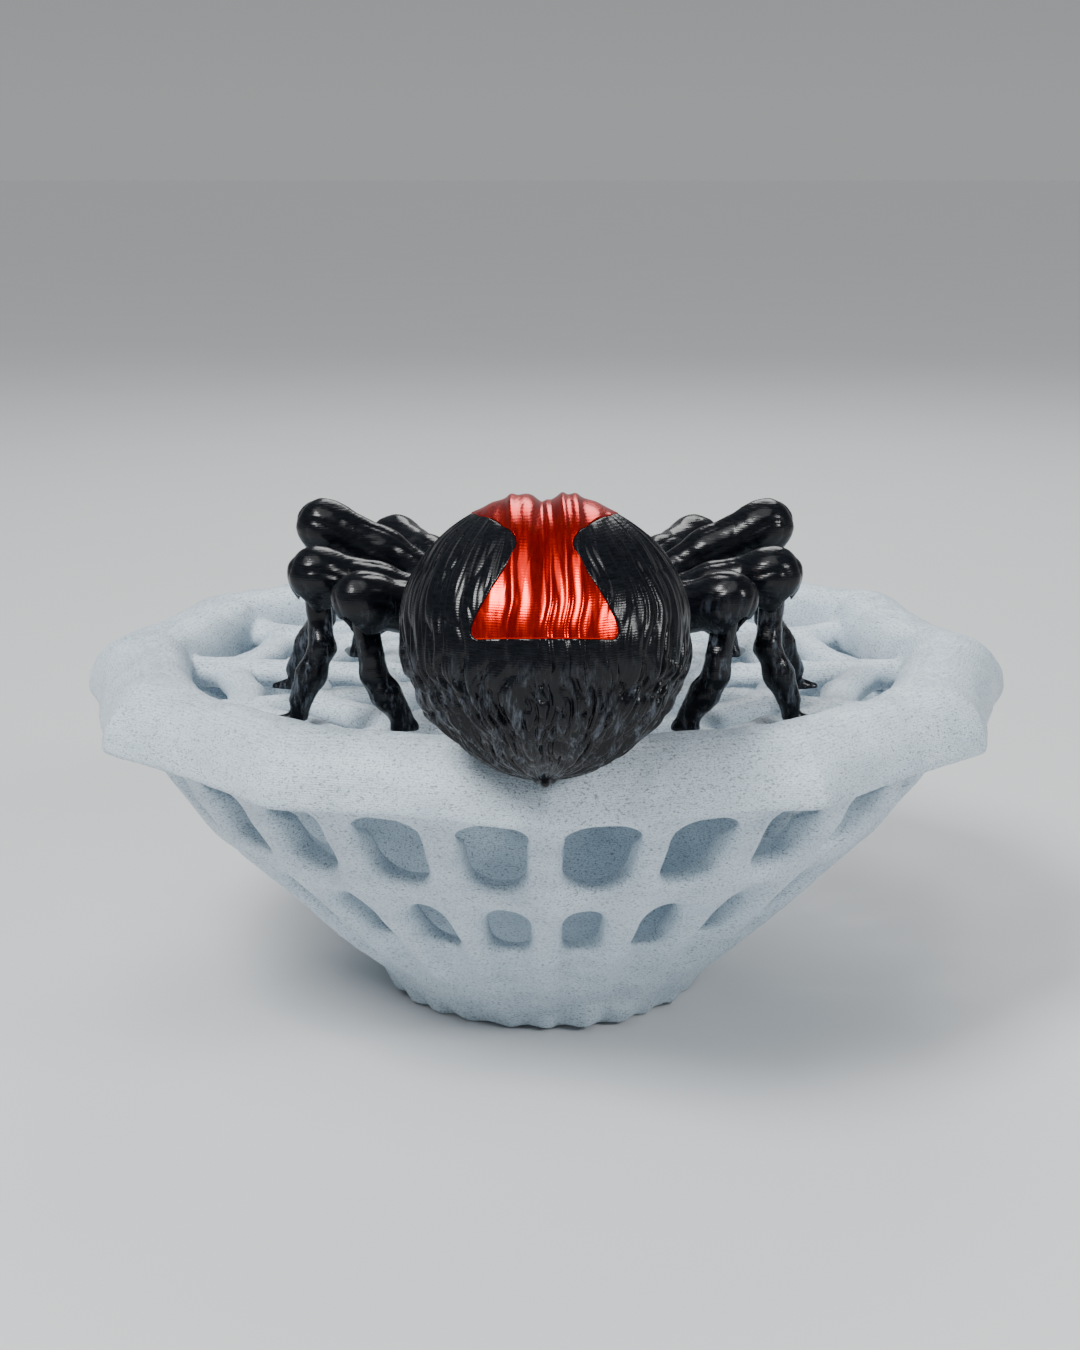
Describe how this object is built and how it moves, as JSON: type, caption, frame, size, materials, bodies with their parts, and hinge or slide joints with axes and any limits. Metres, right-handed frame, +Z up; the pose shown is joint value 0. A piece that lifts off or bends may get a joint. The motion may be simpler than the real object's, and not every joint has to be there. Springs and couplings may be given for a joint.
{
  "type": "posable spider figure on a lidded web bowl",
  "caption": "Jointed spider figure with a red hourglass on its round abdomen, standing on a web lid that lifts off a conical lattice bowl.",
  "frame": {"origin": "centre of the bowl's flat base, on the surface it stands on", "axes": "+Z up, +Y towards the figure's head, +X to the figure's right; the figure is mirrored about X = 0"},
  "size_m": [0.0996, 0.109, 0.062],
  "materials": {
    "marble_plastic": "satin printed plastic, pale grey with fine dark flecks and layer lines",
    "silk_black": "glossy silk printed plastic with layer lines",
    "silk_red": "glossy silk printed plastic with layer lines",
    "pin_plastic": "smooth extruded rod"
  },
  "bodies": {
    "bowl": {"lattice_bowl": "marble_plastic"},
    "lid": {"web_lid": "marble_plastic", "mounting_post": "pin_plastic", "sternum_plate": "silk_black", "carapace": "silk_black", "waist_pin": "pin_plastic", "hip_pins": "pin_plastic", "chelicera_left": "silk_black", "chelicera_right": "silk_black", "pedipalp_left": "silk_black", "pedipalp_right": "silk_black"},
    "abdomen": {"abdomen_shell": "silk_black", "hourglass_inlay": "silk_red", "spinnerets": "silk_black"},
    "thigh_rear_left": {"thigh_rear_left": "silk_black"},
    "shin_rear_left": {"shin_rear_left": "silk_black", "knee_pin_rear_left": "pin_plastic"},
    "thigh_third_left": {"thigh_third_left": "silk_black"},
    "shin_third_left": {"shin_third_left": "silk_black", "knee_pin_third_left": "pin_plastic"},
    "thigh_second_left": {"thigh_second_left": "silk_black"},
    "shin_second_left": {"shin_second_left": "silk_black", "knee_pin_second_left": "pin_plastic"},
    "thigh_front_left": {"thigh_front_left": "silk_black"},
    "shin_front_left": {"shin_front_left": "silk_black", "knee_pin_front_left": "pin_plastic"},
    "thigh_rear_right": {"thigh_rear_right": "silk_black"},
    "shin_rear_right": {"shin_rear_right": "silk_black", "knee_pin_rear_right": "pin_plastic"},
    "thigh_third_right": {"thigh_third_right": "silk_black"},
    "shin_third_right": {"shin_third_right": "silk_black", "knee_pin_third_right": "pin_plastic"},
    "thigh_second_right": {"thigh_second_right": "silk_black"},
    "shin_second_right": {"shin_second_right": "silk_black", "knee_pin_second_right": "pin_plastic"},
    "thigh_front_right": {"thigh_front_right": "silk_black"},
    "shin_front_right": {"shin_front_right": "silk_black", "knee_pin_front_right": "pin_plastic"}
  },
  "joints": [
    {"name": "lid_lift", "type": "slide", "parent": "bowl", "child": "lid", "axis": [0, 0, 1], "range_m": [0, 0.04]},
    {"name": "waist", "type": "hinge", "parent": "lid", "child": "abdomen", "pos_m": [0, -0.0315, 0.0463], "axis": [-1, 0, 0], "range_deg": [0, 12]},
    {"name": "hip_rear_left", "type": "hinge", "parent": "lid", "child": "thigh_rear_left", "pos_m": [-0.0066, -0.0263, 0.046], "axis": [-0.4404, 0.8978, 0], "range_deg": [0, 20]},
    {"name": "knee_rear_left", "type": "hinge", "parent": "thigh_rear_left", "child": "shin_rear_left", "pos_m": [-0.0172, -0.0315, 0.0498], "axis": [-0.4699, 0.8755, -0.1126], "range_deg": [0, 18]},
    {"name": "hip_third_left", "type": "hinge", "parent": "lid", "child": "thigh_third_left", "pos_m": [-0.007, -0.022, 0.0464], "axis": [-0.2334, 0.9724, 0], "range_deg": [0, 20]},
    {"name": "knee_third_left", "type": "hinge", "parent": "thigh_third_left", "child": "shin_third_left", "pos_m": [-0.022, -0.0256, 0.051], "axis": [-0.2282, 0.9735, 0.0178], "range_deg": [-8, 4]},
    {"name": "hip_second_left", "type": "hinge", "parent": "lid", "child": "thigh_second_left", "pos_m": [-0.0072, -0.0178, 0.0466], "axis": [0.0869, 0.9962, 0], "range_deg": [0, 20]},
    {"name": "knee_second_left", "type": "hinge", "parent": "thigh_second_left", "child": "shin_second_left", "pos_m": [-0.0221, -0.0165, 0.0542], "axis": [0.179, 0.9662, 0.1857], "range_deg": [0, 20]},
    {"name": "hip_front_left", "type": "hinge", "parent": "lid", "child": "thigh_front_left", "pos_m": [-0.0064, -0.0134, 0.0464], "axis": [0.8561, 0.5168, 0], "range_deg": [0, 20]},
    {"name": "knee_front_left", "type": "hinge", "parent": "thigh_front_left", "child": "shin_front_left", "pos_m": [-0.0163, 0.003, 0.0493], "axis": [0.7894, 0.531, -0.3082], "range_deg": [0, 25]},
    {"name": "hip_rear_right", "type": "hinge", "parent": "lid", "child": "thigh_rear_right", "pos_m": [0.0066, -0.0263, 0.046], "axis": [-0.4404, -0.8978, 0], "range_deg": [0, 20]},
    {"name": "knee_rear_right", "type": "hinge", "parent": "thigh_rear_right", "child": "shin_rear_right", "pos_m": [0.0172, -0.0315, 0.0498], "axis": [-0.4699, -0.8755, 0.1126], "range_deg": [0, 18]},
    {"name": "hip_third_right", "type": "hinge", "parent": "lid", "child": "thigh_third_right", "pos_m": [0.007, -0.022, 0.0464], "axis": [-0.2334, -0.9724, 0], "range_deg": [0, 20]},
    {"name": "knee_third_right", "type": "hinge", "parent": "thigh_third_right", "child": "shin_third_right", "pos_m": [0.022, -0.0256, 0.051], "axis": [-0.2282, -0.9735, -0.0178], "range_deg": [-8, 4]},
    {"name": "hip_second_right", "type": "hinge", "parent": "lid", "child": "thigh_second_right", "pos_m": [0.0072, -0.0178, 0.0466], "axis": [0.0869, -0.9962, 0], "range_deg": [0, 20]},
    {"name": "knee_second_right", "type": "hinge", "parent": "thigh_second_right", "child": "shin_second_right", "pos_m": [0.0221, -0.0165, 0.0542], "axis": [0.179, -0.9662, -0.1857], "range_deg": [0, 20]},
    {"name": "hip_front_right", "type": "hinge", "parent": "lid", "child": "thigh_front_right", "pos_m": [0.0064, -0.0134, 0.0464], "axis": [0.8561, -0.5168, 0], "range_deg": [0, 20]},
    {"name": "knee_front_right", "type": "hinge", "parent": "thigh_front_right", "child": "shin_front_right", "pos_m": [0.0163, 0.003, 0.0493], "axis": [0.7894, -0.531, 0.3082], "range_deg": [0, 25]}
  ]
}
